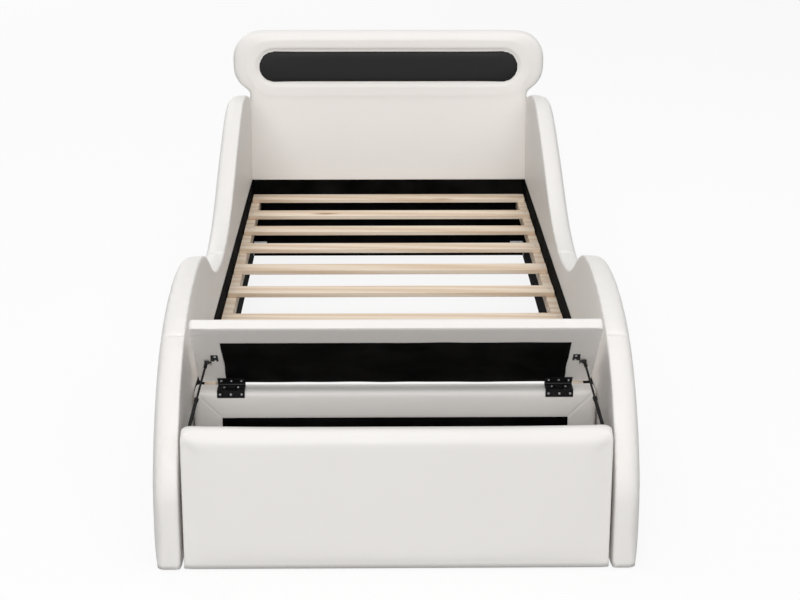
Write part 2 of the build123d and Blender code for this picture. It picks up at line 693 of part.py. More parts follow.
def corner_angle(y, facing, bottom):
    """Return a right-hand corner bracket against the cross face at y."""
    ys = sorted((y, y + facing * ANGLE_LEG))
    long_leg = box_between((inner_half - ANGLE_THICKNESS, ys[0], bottom), (inner_half, ys[1], bottom + ANGLE_HEIGHT))
    ys = sorted((y, y + facing * ANGLE_THICKNESS))
    cross_leg = box_between((inner_half - ANGLE_LEG, ys[0], bottom), (inner_half, ys[1], bottom + ANGLE_HEIGHT))
    return drill(long_leg + cross_leg, angle_screws(y, facing, bottom))


angle_places = ((head_front, -1, HEAD_ANGLE_BOTTOM), (partition_back, 1, BED_ANGLE_BOTTOM),
                (FRONT_THICKNESS, 1, BOX_ANGLE_BOTTOM))
joint_plate_y = head_front - JOINT_PLATE_BACK
joint_plate_screws = [((inner_half - ANGLE_THICKNESS, joint_plate_y + s * JOINT_PLATE_LENGTH / 3,
                        JOINT_PLATE_BOTTOM + JOINT_PLATE_HEIGHT / 2), (1, 0, 0), SCREW_LENGTH) for s in (-1, 1)]
right_frame_screws = [s for place in angle_places for s in angle_screws(*place)] + joint_plate_screws


def joint_plate():
    """Return the right side panel's stiffening plate."""
    plate = box_between((inner_half - ANGLE_THICKNESS, joint_plate_y - JOINT_PLATE_LENGTH / 2, JOINT_PLATE_BOTTOM),
                        (inner_half, joint_plate_y + JOINT_PLATE_LENGTH / 2, JOINT_PLATE_BOTTOM + JOINT_PLATE_HEIGHT))
    return drill(plate, joint_plate_screws)


def mirrored(screws):
    """Return the left-hand twins of right-hand screws."""
    return [((-p[0], p[1], p[2]), (-d[0], d[1], d[2]), n) for p, d, n in screws]


def both_sides(screws):
    """Return right-hand screws and their left-hand twins."""
    return screws + mirrored(screws)


def as_pieces(screws):
    """Return screws as separate solids."""
    return group([screw(*s) for s in screws])


def glides():
    """Return the glides under the boards."""
    board_x = inner_half + SIDE_INNER_PADDING + (SIDE_THICKNESS - SIDE_OUTER_PADDING - SIDE_INNER_PADDING) / 2
    spots = [(board_x, y) for y in (GLIDE_END_INSET, partition_back, (partition_back + head_front) / 2,
                                    head_front - GLIDE_END_INSET)]
    spots += [(front_half - CROSS_GLIDE_INSET, FRONT_THICKNESS / 2)]
    spots += [(partition_half - CROSS_GLIDE_INSET, (partition_front + partition_back) / 2)]
    spots += [(outer_half - CROSS_GLIDE_INSET, head_front + HEAD_FRONT_PADDING + GLIDE_RADIUS + GLIDE_CLEARANCE)]
    both = spots + [(-x, y) for x, y in spots]
    return group([rod_between((x, y, 0), (x, y, GLIDE_HEIGHT), GLIDE_RADIUS) for x, y in both])


wall_fixings = wall_screws(hinge_xs["left"]) + wall_screws(hinge_xs["right"])
frame_fixings = both_sides(right_frame_screws)
side_fixings = right_frame_screws + ledger_screws + lower_plate_screws
cross_fixings = [s for s in frame_fixings if abs(s[1][1]) > 0.5]


def near(screws, low, high):
    """Return the screws whose seats lie between two distances along the bed."""
    return [s for s in screws if low <= s[0][1] <= high]


head_fixings = near(cross_fixings, head_front - ANGLE_LEG, head_back)
front_fixings = near(cross_fixings, 0, FRONT_THICKNESS + ANGLE_LEG)
partition_fixings = near(cross_fixings, partition_back, partition_back + ANGLE_LEG) + wall_fixings

right_sides = {
    "side_cover": drill(side_cover(), side_fixings),
    "side_board": drill(side_board(), side_fixings),
    "side_lining": drill(side_lining(), side_fixings),
    "ledger": ledger(),
    "strut_lower_bracket": lower_bracket(),
    "strut_foot": strut_foot(),
    "strut_tube": strut_tube(),
    "strut_collar": strut_collar(),
    "strut_rod": strut_rod(),
    "strut_socket": strut_socket(),
}
lid_parts = {
    "lid_cover": drill(lid_cover(), lid_fixings()),
    "lid_board": drill(lid_board(), lid_fixings()),
    "lid_lining": drill(lid_lining(), lid_fixings()),
    "lid_leaf_left": lid_leaf(hinge_xs["left"]),
    "lid_leaf_right": lid_leaf(hinge_xs["right"]),
    "strut_upper_bracket_left": to_left(upper_bracket()),
    "strut_upper_bracket_right": upper_bracket(),
    "lid_screws": as_pieces(lid_fixings()),
}
nodes = {
    "headboard_cover": drill(head_cover(), head_fixings),
    "headboard_board": drill(head_board(), head_fixings),
    "headboard_lining": drill(head_lining(), head_fixings),
    "headboard_pad": head_pad(),
    "front_panel_cover": drill(front_cover(), front_fixings),
    "front_panel_board": drill(front_board(), front_fixings),
    "partition_cover": drill(partition_cover(), partition_fixings),
    "partition_board": drill(partition_board(), partition_fixings),
    "partition_lining": drill(partition_lining(), partition_fixings),
    "box_floor": box_floor(),
    "box_floor_cleats": group(box_floor_cleats()),
    "lid_rest_batten": lid_rest_batten(),
    "slat_screws": as_pieces(all_slat_screws),
    "frame_screws": as_pieces(both_sides(side_fixings)),
    "corner_angles": group([a for place in angle_places
                            for a in (corner_angle(*place), to_left(corner_angle(*place)))]),
    "joint_plates": group([joint_plate(), to_left(joint_plate())]),
    "wall_leaf_left": wall_leaf(hinge_xs["left"]),
    "wall_leaf_right": wall_leaf(hinge_xs["right"]),
    "hinge_pins": group([hinge_pin(x) for x in hinge_xs.values()]),
    "wall_leaf_screws": as_pieces(wall_fixings),
    "glides": glides(),
}
for index, back in enumerate(slat_backs, start=1):
    nodes[f"slat_{index}"] = slat(back)
for name, part in right_sides.items():
    nodes[f"{name}_right"] = part
    nodes[f"{name}_left"] = to_left(part)
for name, part in lid_parts.items():
    nodes[name] = lid_swing * part

# The origin lies under the middle of the whole bed
centre_y = (head_back - FENDER_NOSE) / 2
os.makedirs("parts", exist_ok=True)
for name, part in nodes.items():
    export_step(Pos(0, -centre_y, 0) * part, f"parts/{name}.step")

open_slope = atan2(open_ball.Z - lower_ball.Z, open_ball.Y - lower_ball.Y)
closed_slope = atan2(closed_ball.Z - lower_ball.Z, closed_ball.Y - lower_ball.Y)
lid_travel = LID_OPEN_ANGLE + lid_closed_tilt
print(f"nodes {len(nodes)}, y shift {-centre_y:.3f}, head front {head_front:.1f}")
print(f"pin y {pin_y - centre_y:.3f} z {pin_z:.3f}, lid travel {lid_travel:.3f} deg")
print(f"strut pivot y {lower_ball.Y - centre_y:.3f} z {lower_ball.Z:.3f}, axis {strut_axis}")
print(f"strut turn {degrees(open_slope - closed_slope):.3f} deg, stroke {strut_stroke:.3f}")
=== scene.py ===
"""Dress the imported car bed: padded leatherette panels, linings, pine slats, lid hardware and studio."""
import json
import logging
import math
from dataclasses import dataclass, field
from enum import Enum
from typing import Callable, Sequence

import bmesh
import bpy
import numpy as np
from mathutils import Matrix, Vector, noise


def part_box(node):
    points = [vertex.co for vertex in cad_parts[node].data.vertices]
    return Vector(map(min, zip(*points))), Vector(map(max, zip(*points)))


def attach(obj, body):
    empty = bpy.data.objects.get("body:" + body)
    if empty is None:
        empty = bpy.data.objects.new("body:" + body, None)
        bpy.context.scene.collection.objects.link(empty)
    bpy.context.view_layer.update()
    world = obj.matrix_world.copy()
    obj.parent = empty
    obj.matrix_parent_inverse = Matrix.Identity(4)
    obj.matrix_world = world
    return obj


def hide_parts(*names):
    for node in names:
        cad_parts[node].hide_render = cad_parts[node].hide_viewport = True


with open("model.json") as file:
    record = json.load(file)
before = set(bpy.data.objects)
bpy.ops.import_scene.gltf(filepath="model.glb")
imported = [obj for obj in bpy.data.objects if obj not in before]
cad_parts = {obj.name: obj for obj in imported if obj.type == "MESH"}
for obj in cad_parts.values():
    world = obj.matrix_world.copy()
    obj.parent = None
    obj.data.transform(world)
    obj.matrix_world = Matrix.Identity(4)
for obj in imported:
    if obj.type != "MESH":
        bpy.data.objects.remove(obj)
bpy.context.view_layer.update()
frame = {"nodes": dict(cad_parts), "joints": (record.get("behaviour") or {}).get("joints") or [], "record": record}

logging.basicConfig(level=logging.INFO, format="%(name)s: %(message)s")
LOG = logging.getLogger("car_bed")

MM = 0.001


class Slot(Enum):
    """The record's material slots."""

    WHITE_LEATHERETTE = "white_leatherette"
    BLACK_LEATHERETTE = "black_leatherette"
    BLACK_LINING = "black_lining"
    PARTICLE_BOARD = "particle_board"
    NATURAL_PINE = "natural_pine"
    BLACK_STEEL = "black_steel"
    BRIGHT_STEEL = "bright_steel"
    ZINC_STEEL = "zinc_steel"
    GLIDE_PLASTIC = "glide_plastic"


class Side(Enum):
    """The bed's left and right, as signs of X."""

    LEFT = -1
    RIGHT = 1

    @property
    def word(self) -> str:
        """Return the side's name as node names spell it."""
        return self.name.lower()


# Shader groups


def new_group(name: str, inputs: Sequence[tuple], outputs: Sequence[tuple]) -> bpy.types.NodeTree:
    """Create a shader node group with named sockets.

    Args:
        name: The group's name.
        inputs: (name, socket type, default) of each input.
        outputs: (name, socket type) of each output.

    Returns:
        The group, with its input and output nodes in place.
    """
    tree = bpy.data.node_groups.new(name, "ShaderNodeTree")
    for label, kind, default in inputs:
        socket = tree.interface.new_socket(label, in_out="INPUT", socket_type=kind)
        socket.default_value = default
    for label, kind in outputs:
        tree.interface.new_socket(label, in_out="OUTPUT", socket_type=kind)
    tree.nodes.new("NodeGroupInput").name = "in"
    tree.nodes.new("NodeGroupOutput").name = "out"
    return tree


class Wiring:
    """A short way to place and join nodes in one tree."""

    def __init__(self, tree: bpy.types.NodeTree) -> None:
        """Keep the tree that nodes go in."""
        self.tree = tree

    def node(self, kind: str, **settings: object) -> bpy.types.Node:
        """Add a node and set its properties."""
        made = self.tree.nodes.new(kind)
        for key, value in settings.items():
            setattr(made, key, value)
        return made

    def join(self, source: bpy.types.NodeSocket, target: bpy.types.NodeSocket) -> None:
        """Link an output to an input."""
        self.tree.links.new(source, target)

    def math(self, operation: str, first: object, second: object = 0.0) -> bpy.types.NodeSocket:
        """Add a Math node and return its output.

        Args:
            operation: The node's operation.
            first: A socket or a number.
            second: A socket or a number.

        Returns:
            The value output.
        """
        made = self.node("ShaderNodeMath", operation=operation)
        for index, value in enumerate((first, second)):
            if isinstance(value, bpy.types.NodeSocket):
                self.join(value, made.inputs[index])
            else:
                made.inputs[index].default_value = value
        return made.outputs[0]

    def coordinates(self, stretch: Sequence[float] = (1.0, 1.0, 1.0)) -> bpy.types.NodeSocket:
        """Return object coordinates, stretched along each axis."""
        source = self.node("ShaderNodeTexCoord")
        scaled = self.node("ShaderNodeMapping")
        scaled.inputs["Scale"].default_value = stretch
        self.join(source.outputs["Object"], scaled.inputs["Vector"])
        return scaled.outputs["Vector"]

    def noise(self, vector: bpy.types.NodeSocket, scale: object, detail: float = 3.0,
              roughness: float = 0.5) -> bpy.types.NodeSocket:
        """Add a noise texture and return its value."""
        made = self.node("ShaderNodeTexNoise")
        self.join(vector, made.inputs["Vector"])
        if isinstance(scale, bpy.types.NodeSocket):
            self.join(scale, made.inputs["Scale"])
        else:
            made.inputs["Scale"].default_value = scale
        made.inputs["Detail"].default_value = detail
        made.inputs["Roughness"].default_value = roughness
        return made.outputs["Fac"]

    def spread(self, value: bpy.types.NodeSocket, low: float, high: float,
               to_low: float = 0.0, to_high: float = 1.0) -> bpy.types.NodeSocket:
        """Map a value's range onto another and clamp it."""
        made = self.node("ShaderNodeMapRange")
        self.join(value, made.inputs["Value"])
        for label, number in (("From Min", low), ("From Max", high), ("To Min", to_low), ("To Max", to_high)):
            made.inputs[label].default_value = number
        return made.outputs["Result"]

    def mix(self, factor: bpy.types.NodeSocket, first: object, second: object) -> bpy.types.NodeSocket:
        """Mix two colours, each a socket or a tuple, and return the result."""
        made = self.node("ShaderNodeMix", data_type="RGBA")
        self.join(factor, made.inputs[0])
        for index, value in ((6, first), (7, second)):
            if isinstance(value, bpy.types.NodeSocket):
                self.join(value, made.inputs[index])
            else:
                made.inputs[index].default_value = (*value, 1.0)
        return made.outputs[2]


class EffectGroups:
    """The shader node groups that several finishes share, each built once."""

    def __init__(self) -> None:
        """Build every group."""
        self.grain = self.pebble_grain()
        self.cloud = self.tone_cloud()
        self.weave = self.basket_weave()
        self.wood = self.wood_figure()

    @staticmethod
    def pebble_grain() -> bpy.types.NodeTree:
        """Return the fine pebbled grain of leatherette, as a height."""
        tree = new_group("pebble grain",
                         [("Scale", "NodeSocketFloat", 900.0), ("Crease", "NodeSocketFloat", 0.3)],
                         [("Height", "NodeSocketFloat")])
        wire = Wiring(tree)
        place = wire.coordinates()
        cells = wire.node("ShaderNodeTexVoronoi", feature="SMOOTH_F1")
        wire.join(place, cells.inputs["Vector"])
        wire.join(tree.nodes["in"].outputs["Scale"], cells.inputs["Scale"])
        creases = wire.math("MULTIPLY", wire.noise(place, 45.0, 4.0, 0.6), tree.nodes["in"].outputs["Crease"])
        wire.join(wire.math("ADD", cells.outputs["Distance"], creases), tree.nodes["out"].inputs["Height"])
        return tree

    @staticmethod
    def tone_cloud() -> bpy.types.NodeTree:
        """Return slow mottling between two colours, for batches and handling, and for the black lining's painted
        sheen.
        """
        tree = new_group("tone cloud", [("Base", "NodeSocketColor", (1, 1, 1, 1)),
                                        ("Worn", "NodeSocketColor", (1, 1, 1, 1)),
                                        ("Scale", "NodeSocketFloat", 3.0),
                                        ("Amount", "NodeSocketFloat", 0.5)],
                         [("Color", "NodeSocketColor"), ("Mask", "NodeSocketFloat")])
        wire = Wiring(tree)
        entry = tree.nodes["in"].outputs
        mask = wire.spread(wire.noise(wire.coordinates(), entry["Scale"], 5.0, 0.55), 0.35, 0.7)
        mask = wire.math("MULTIPLY", mask, entry["Amount"])
        wire.join(wire.mix(mask, entry["Base"], entry["Worn"]), tree.nodes["out"].inputs["Color"])
        wire.join(mask, tree.nodes["out"].inputs["Mask"])
        return tree

    @staticmethod
    def basket_weave() -> bpy.types.NodeTree:
        """Return crossed threads, as a height."""
        tree = new_group("basket weave", [("Threads", "NodeSocketFloat", 900.0)],
                         [("Height", "NodeSocketFloat")])
        wire = Wiring(tree)
        place = wire.coordinates()
        heights = []
        for direction in ("X", "Y", "Z"):
            threads = wire.node("ShaderNodeTexWave", wave_type="BANDS", bands_direction=direction)
            wire.join(place, threads.inputs["Vector"])
            wire.join(tree.nodes["in"].outputs["Threads"], threads.inputs["Scale"])
            threads.inputs["Distortion"].default_value = 0.6
            heights.append(threads.outputs["Fac"])
        total = wire.math("ADD", wire.math("ADD", heights[0], heights[1]), heights[2])
        wire.join(total, tree.nodes["out"].inputs["Height"])
        return tree

    @staticmethod
    def wood_figure() -> bpy.types.NodeTree:
        """Return the grain of a board sawn along X: a tone from 0 to 1 and a height."""
        tree = new_group("wood figure", [("Knots", "NodeSocketFloat", 1.0)],
                         [("Tone", "NodeSocketFloat"), ("Knot", "NodeSocketFloat"),
                          ("Height", "NodeSocketFloat")])
        wire = Wiring(tree)
        entry = tree.nodes["in"].outputs
        long_way = wire.coordinates((0.9, 14.0, 14.0))
        rings = wire.node("ShaderNodeTexWave", wave_type="BANDS", bands_direction="DIAGONAL")
        wire.join(long_way, rings.inputs["Vector"])
        rings.inputs["Scale"].default_value = 0.9
        rings.inputs["Distortion"].default_value = 7.0
        rings.inputs["Detail"].default_value = 2.5
        rings.inputs["Detail Scale"].default_value = 0.7
        fibres = wire.noise(wire.coordinates((6.0, 420.0, 420.0)), 1.0, 4.0, 0.6)
        knots = wire.node("ShaderNodeTexVoronoi", feature="F1")
        wire.join(wire.coordinates((2.3, 9.0, 9.0)), knots.inputs["Vector"])
        knots.inputs["Scale"].default_value = 1.0
        knot = wire.math("MULTIPLY", wire.spread(knots.outputs["Distance"], 0.13, 0.03), entry["Knots"])
        tone = wire.math("ADD", wire.math("MULTIPLY", rings.outputs["Fac"], 0.55),
                         wire.math("MULTIPLY", fibres, 0.45))
        wire.join(tone, tree.nodes["out"].inputs["Tone"])
        wire.join(knot, tree.nodes["out"].inputs["Knot"])
        wire.join(fibres, tree.nodes["out"].inputs["Height"])
        return tree


GROUPS = EffectGroups()


class Finish:
    """What every finish shares: a new material with its Principled shader."""

    name: str

    def start(self) -> tuple[bpy.types.Material, Wiring, bpy.types.Node]:
        """Return a new material, its wiring and its shader."""
        material = bpy.data.materials.new(self.name)
        material.use_nodes = True
        return material, Wiring(material.node_tree), material.node_tree.nodes["Principled BSDF"]

    @staticmethod
    def place(wire: Wiring, tree: bpy.types.NodeTree, **values: object) -> bpy.types.Node:
        """Place a shared group and set its inputs by name."""
        made = wire.node("ShaderNodeGroup", node_tree=tree)
        for key, value in values.items():
            made.inputs[key].default_value = value
        return made

    @staticmethod
    def bump(wire: Wiring, shader: bpy.types.Node, height: bpy.types.NodeSocket, strength: float,
             distance: float) -> None:
        """Feed a height to the shader's normal."""
        made = wire.node("ShaderNodeBump")
        made.inputs["Strength"].default_value = strength
        made.inputs["Distance"].default_value = distance
        wire.join(height, made.inputs["Height"])
        wire.join(made.outputs["Normal"], shader.inputs["Normal"])


@dataclass(frozen=True)
class Leatherette(Finish):
    """Coated upholstery cloth with a fine pebble grain and a soft sheen."""

    name: str
    colour: tuple[float, float, float]
    shaded: tuple[float, float, float]
    roughness: float = 0.42
    grain: float = 0.35
    sheen: float = 0.35

    def material(self) -> bpy.types.Material:
        """Build the material.

        Returns:
            The finish's material.
        """
        made, wire, shader = self.start()
        cloud = self.place(wire, GROUPS.cloud, Base=(*self.colour, 1), Worn=(*self.shaded, 1), Scale=2.2,
                           Amount=0.5)
        wire.join(cloud.outputs["Color"], shader.inputs["Base Color"])
        gloss = wire.spread(cloud.outputs["Mask"], 0.0, 0.5, self.roughness, self.roughness + 0.1)
        wire.join(gloss, shader.inputs["Roughness"])
        shader.inputs["Specular IOR Level"].default_value = self.sheen
        grain = self.place(wire, GROUPS.grain, Scale=850.0, Crease=0.35)
        self.bump(wire, shader, grain.outputs["Height"], self.grain, 0.0004)
        return made


@dataclass(frozen=True)
class Lining(Finish):
    """Matt black woven lining, with lighter mottled patches of painted sheen."""

    name: str
    colour: tuple[float, float, float]
    painted_sheen: tuple[float, float, float]

    def material(self) -> bpy.types.Material:
        """Build the material.

        Returns:
            The finish's material.
        """
        made, wire, shader = self.start()
        # The second colour is painted sheen: lighter mottled patches that stand in for light glancing off the
        # black cloth.
        cloud = self.place(wire, GROUPS.cloud, Base=(*self.colour, 1), Worn=(*self.painted_sheen, 1),
                           Scale=9.0, Amount=0.8)
        wire.join(cloud.outputs["Color"], shader.inputs["Base Color"])
        shader.inputs["Roughness"].default_value = 0.85
        shader.inputs["Specular IOR Level"].default_value = 0.03
        weave = self.place(wire, GROUPS.weave, Threads=260.0)
        self.bump(wire, shader, weave.outputs["Height"], 0.5, 0.0003)
        return made


@dataclass(frozen=True)
class Pine(Finish):
    """Planed softwood with growth rings, fibres and small knots."""

    name: str
    pale: tuple[float, float, float]
    dark: tuple[float, float, float]
    knot: tuple[float, float, float]

    def material(self) -> bpy.types.Material:
        """Build the material.

        Returns:
            The finish's material.
        """
        made, wire, shader = self.start()
        figure = self.place(wire, GROUPS.wood, Knots=1.0)
        tone = wire.spread(figure.outputs["Tone"], 0.3, 0.85)
        wood = wire.mix(tone, self.pale, self.dark)
        wire.join(wire.mix(figure.outputs["Knot"], wood, self.knot), shader.inputs["Base Color"])
        wire.join(wire.spread(figure.outputs["Tone"], 0.0, 1.0, 0.5, 0.64), shader.inputs["Roughness"])
        shader.inputs["Specular IOR Level"].default_value = 0.3
        self.bump(wire, shader, figure.outputs["Height"], 0.3, 0.0004)
        return made


@dataclass(frozen=True)
class PressedBoard(Finish):
    """Raw particle board with flakes."""

    name: str
    pale: tuple[float, float, float]
    dark: tuple[float, float, float]

    def material(self) -> bpy.types.Material:
        """Build the material.

        Returns:
            The finish's material.
        """
        made, wire, shader = self.start()
        flakes = wire.node("ShaderNodeTexVoronoi", feature="F1")
        wire.join(wire.coordinates((160.0, 260.0, 210.0)), flakes.inputs["Vector"])
        flakes.inputs["Scale"].default_value = 1.0
        tone = wire.spread(flakes.outputs["Distance"], 0.1, 0.9)
        cloud = self.place(wire, GROUPS.cloud, Base=(*self.pale, 1), Worn=(*self.dark, 1),
                           Scale=30.0, Amount=0.7)
        wire.join(wire.mix(tone, cloud.outputs["Color"], self.dark), shader.inputs["Base Color"])
        shader.inputs["Roughness"].default_value = 0.82
        self.bump(wire, shader, flakes.outputs["Distance"], 0.4, 0.0005)
        return made


@dataclass(frozen=True)
class Metal(Finish):
    """Painted, plated or polished steel with fine streaks and handling marks."""

    name: str
    colour: tuple[float, float, float]
    worn: tuple[float, float, float]
    metallic: float
    roughness: float
    shine: float = 0.5

    def material(self) -> bpy.types.Material:
        """Build the material.

        Returns:
            The finish's material.
        """
        made, wire, shader = self.start()
        cloud = self.place(wire, GROUPS.cloud, Base=(*self.colour, 1), Worn=(*self.worn, 1),
                           Scale=60.0, Amount=0.6)
        wire.join(cloud.outputs["Color"], shader.inputs["Base Color"])
        streaks = wire.noise(wire.coordinates((300.0, 40.0, 300.0)), 1.0, 3.0)
        wire.join(wire.spread(streaks, 0.3, 0.7, self.roughness * 0.8, self.roughness * 1.25),
                  shader.inputs["Roughness"])
        shader.inputs["Metallic"].default_value = self.metallic
        shader.inputs["Specular IOR Level"].default_value = self.shine
        self.bump(wire, shader, streaks, 0.12, 0.0002)
        return made


@dataclass(frozen=True)
class Plastic(Finish):
    """Moulded plastic."""

    name: str
    colour: tuple[float, float, float]

    def material(self) -> bpy.types.Material:
        """Build the material.

        Returns:
            The finish's material.
        """
        made, wire, shader = self.start()
        scuffs = wire.noise(wire.coordinates(), 180.0, 3.0)
        pale = tuple(0.9 * c for c in self.colour)
        wire.join(wire.mix(wire.spread(scuffs, 0.4, 0.8), self.colour, pale), shader.inputs["Base Color"])
        shader.inputs["Roughness"].default_value = 0.5
        self.bump(wire, shader, scuffs, 0.2, 0.0003)
        return made


class Finishes:
    """Every finish of the bed, by the record's slot."""

    def __init__(self) -> None:
        """Build each material once."""
        self.by_slot = {
            Slot.WHITE_LEATHERETTE: Leatherette("white leatherette", (0.865, 0.842, 0.815),
                                                (0.83, 0.805, 0.775)),
            Slot.BLACK_LEATHERETTE: Leatherette("black leatherette", (0.0065, 0.0065, 0.007),
                                                (0.01, 0.01, 0.011), 0.5, 0.4, 0.22),
            # The black lining's second, lighter colour is painted sheen: mottled patches that stand in for light
            # on the cloth.
            Slot.BLACK_LINING: Lining("black lining", (0.0008, 0.0008, 0.0008), (0.009, 0.0085, 0.0085)),
            Slot.PARTICLE_BOARD: PressedBoard("particle board", (0.62, 0.48, 0.32), (0.4, 0.28, 0.16)),
            Slot.NATURAL_PINE: Pine("natural pine", (0.93, 0.79, 0.635), (0.79, 0.6, 0.43),
                                    (0.42, 0.24, 0.13)),
            Slot.BLACK_STEEL: Metal("black steel", (0.006, 0.006, 0.0065), (0.016, 0.016, 0.017), 0.0, 0.4,
                                    0.22),
            Slot.BRIGHT_STEEL: Metal("bright steel", (0.035, 0.035, 0.037), (0.07, 0.07, 0.07), 1.0, 0.28),
            Slot.ZINC_STEEL: Metal("zinc steel", (0.62, 0.62, 0.64), (0.45, 0.45, 0.47), 1.0, 0.35),
            Slot.GLIDE_PLASTIC: Plastic("glide plastic", (0.7, 0.7, 0.68)),
        }
        self.made = {slot: finish.material() for slot, finish in self.by_slot.items()}

    def dress(self, obj: bpy.types.Object, slot: Slot) -> None:
        """Give an object one finish."""
        obj.data.materials.clear()
        obj.data.materials.append(self.made[slot])


# Mesh tools


def points_of(obj: bpy.types.Object) -> np.ndarray:
    """Return an object's vertices as rows."""
    rows = np.zeros(len(obj.data.vertices) * 3, np.float32)
    obj.data.vertices.foreach_get("co", rows)
    return rows.reshape(-1, 3).astype(float)


def normals_of(obj: bpy.types.Object) -> np.ndarray:
    """Return an object's vertex normals as rows."""
    rows = np.zeros(len(obj.data.vertices) * 3, np.float32)
    obj.data.vertices.foreach_get("normal", rows)
    return rows.reshape(-1, 3).astype(float)


def place_points(obj: bpy.types.Object, rows: np.ndarray) -> None:
    """Write an object's vertices."""
    obj.data.vertices.foreach_set("co", rows.astype(np.float32).ravel())
    obj.data.update()


def new_object(name: str, rows: Sequence, faces: Sequence, smooth: bool = True) -> bpy.types.Object:
    """Make a mesh object from points in metres and faces."""
    mesh = bpy.data.meshes.new(name)
    mesh.from_pydata([tuple(p) for p in rows], [], [tuple(f) for f in faces])
    mesh.update()
    if smooth:
        mesh.shade_smooth()
    obj = bpy.data.objects.new(name, mesh)
    bpy.context.scene.collection.objects.link(obj)
    return obj


def joined_copy(nodes: Sequence[str], name: str, turn: Matrix) -> bpy.types.Object:
    """Return one new mesh with the solids of several nodes.

    Args:
        nodes: The CAD nodes whose solids fill the piece.
        name: The new object's name.
        turn: The matrix that brings the row frame to the piece's own level frame.

    Returns:
        The object, in its own level frame.
    """
    work = bmesh.new()
    for node in nodes:
        work.from_mesh(frame["nodes"][node].data)
    bmesh.ops.remove_doubles(work, verts=work.verts, dist=1e-6)
    mesh = bpy.data.meshes.new(name)
    work.to_mesh(mesh)
    work.free()
    mesh.transform(turn)
    obj = bpy.data.objects.new(name, mesh)
    bpy.context.scene.collection.objects.link(obj)
    return obj


def baked(obj: bpy.types.Object) -> None:
    """Apply every modifier of an object to its mesh."""
    graph = bpy.context.evaluated_depsgraph_get()
    mesh = bpy.data.meshes.new_from_object(obj.evaluated_get(graph))
    old = obj.data
    obj.modifiers.clear()
    obj.data = mesh
    bpy.data.meshes.remove(old)


def loose_parts(work: bmesh.types.BMesh) -> list[list[bmesh.types.BMVert]]:
    """Return the vertices of each loose part of a mesh."""
    parts, seen = [], set()
    work.verts.ensure_lookup_table()
    for start in work.verts:
        if start.index in seen:
            continue
        part, stack = [], [start]
        seen.add(start.index)
        while stack:
            vertex = stack.pop()
            part.append(vertex)
            for edge in vertex.link_edges:
                other = edge.other_vert(vertex)
                if other.index not in seen:
                    seen.add(other.index)
                    stack.append(other)
        parts.append(part)
    return parts


def keep_outer_shell(obj: bpy.types.Object) -> None:
    """Delete every loose part of a mesh but the largest."""
    work = bmesh.new()
    work.from_mesh(obj.data)
    kept = {v.index for v in max(loose_parts(work), key=len)}
    bmesh.ops.delete(work, geom=[v for v in work.verts if v.index not in kept], context="VERTS")
    work.to_mesh(obj.data)
    work.free()


def squared(first: np.ndarray, second: np.ndarray, radius: float, power: float = 6.0) -> np.ndarray:
    """Return how far to push a rounded edge out along its normals to make it crisper.

    Args:
        first: The normals' share across one face of the edge.
        second: Their share across the other face.
        radius: The rounding's radius.
        power: The higher, the crisper.

    Returns:
        The push at each point, in metres.
    """
    size = np.maximum(np.abs(first) ** power + np.abs(second) ** power, 1e-6) ** (1 / power)
    length = np.maximum(np.hypot(first, second), 1e-6)
    return radius * (length / size - 1.0) * np.clip(length * 4 - 3, 0.0, 1.0)


def ripple(rows: np.ndarray, scale: Sequence[float], seed: float, octaves: int = 2) -> np.ndarray:
    """Return smooth noise between about -1 and 1 at each point."""
    stretched = rows * np.array(scale) + seed
    return np.array([noise.fractal(Vector(p), 0.8, 2.0, octaves) for p in stretched])


@dataclass
class Seam:
    """A sewn seam: where it runs, and how deep and wide the cover draws in there."""

    distance: Callable[[np.ndarray], np.ndarray]
    depth: float = 1.6 * MM
    width: float = 4.0 * MM
    pucker: float = 0.7 * MM
    faces: Callable[[np.ndarray], np.ndarray] = lambda normals: np.ones(len(normals))


def refine(obj: bpy.types.Object, seam: Seam, passes: int = 2) -> None:
    """Divide the faces along a seam, so that its groove has points to follow."""
    for _ in range(passes):
        rows = points_of(obj)
        near = seam.distance(rows) < 3.5 * seam.width
        near &= seam.faces(normals_of(obj)) > 0.05
        work = bmesh.new()
        work.from_mesh(obj.data)
        work.verts.ensure_lookup_table()
        edges = [e for e in work.edges if near[e.verts[0].index] and near[e.verts[1].index]]
        bmesh.ops.subdivide_edges(work, edges=edges, cuts=1, use_grid_fill=True)
        work.to_mesh(obj.data)
        work.free()


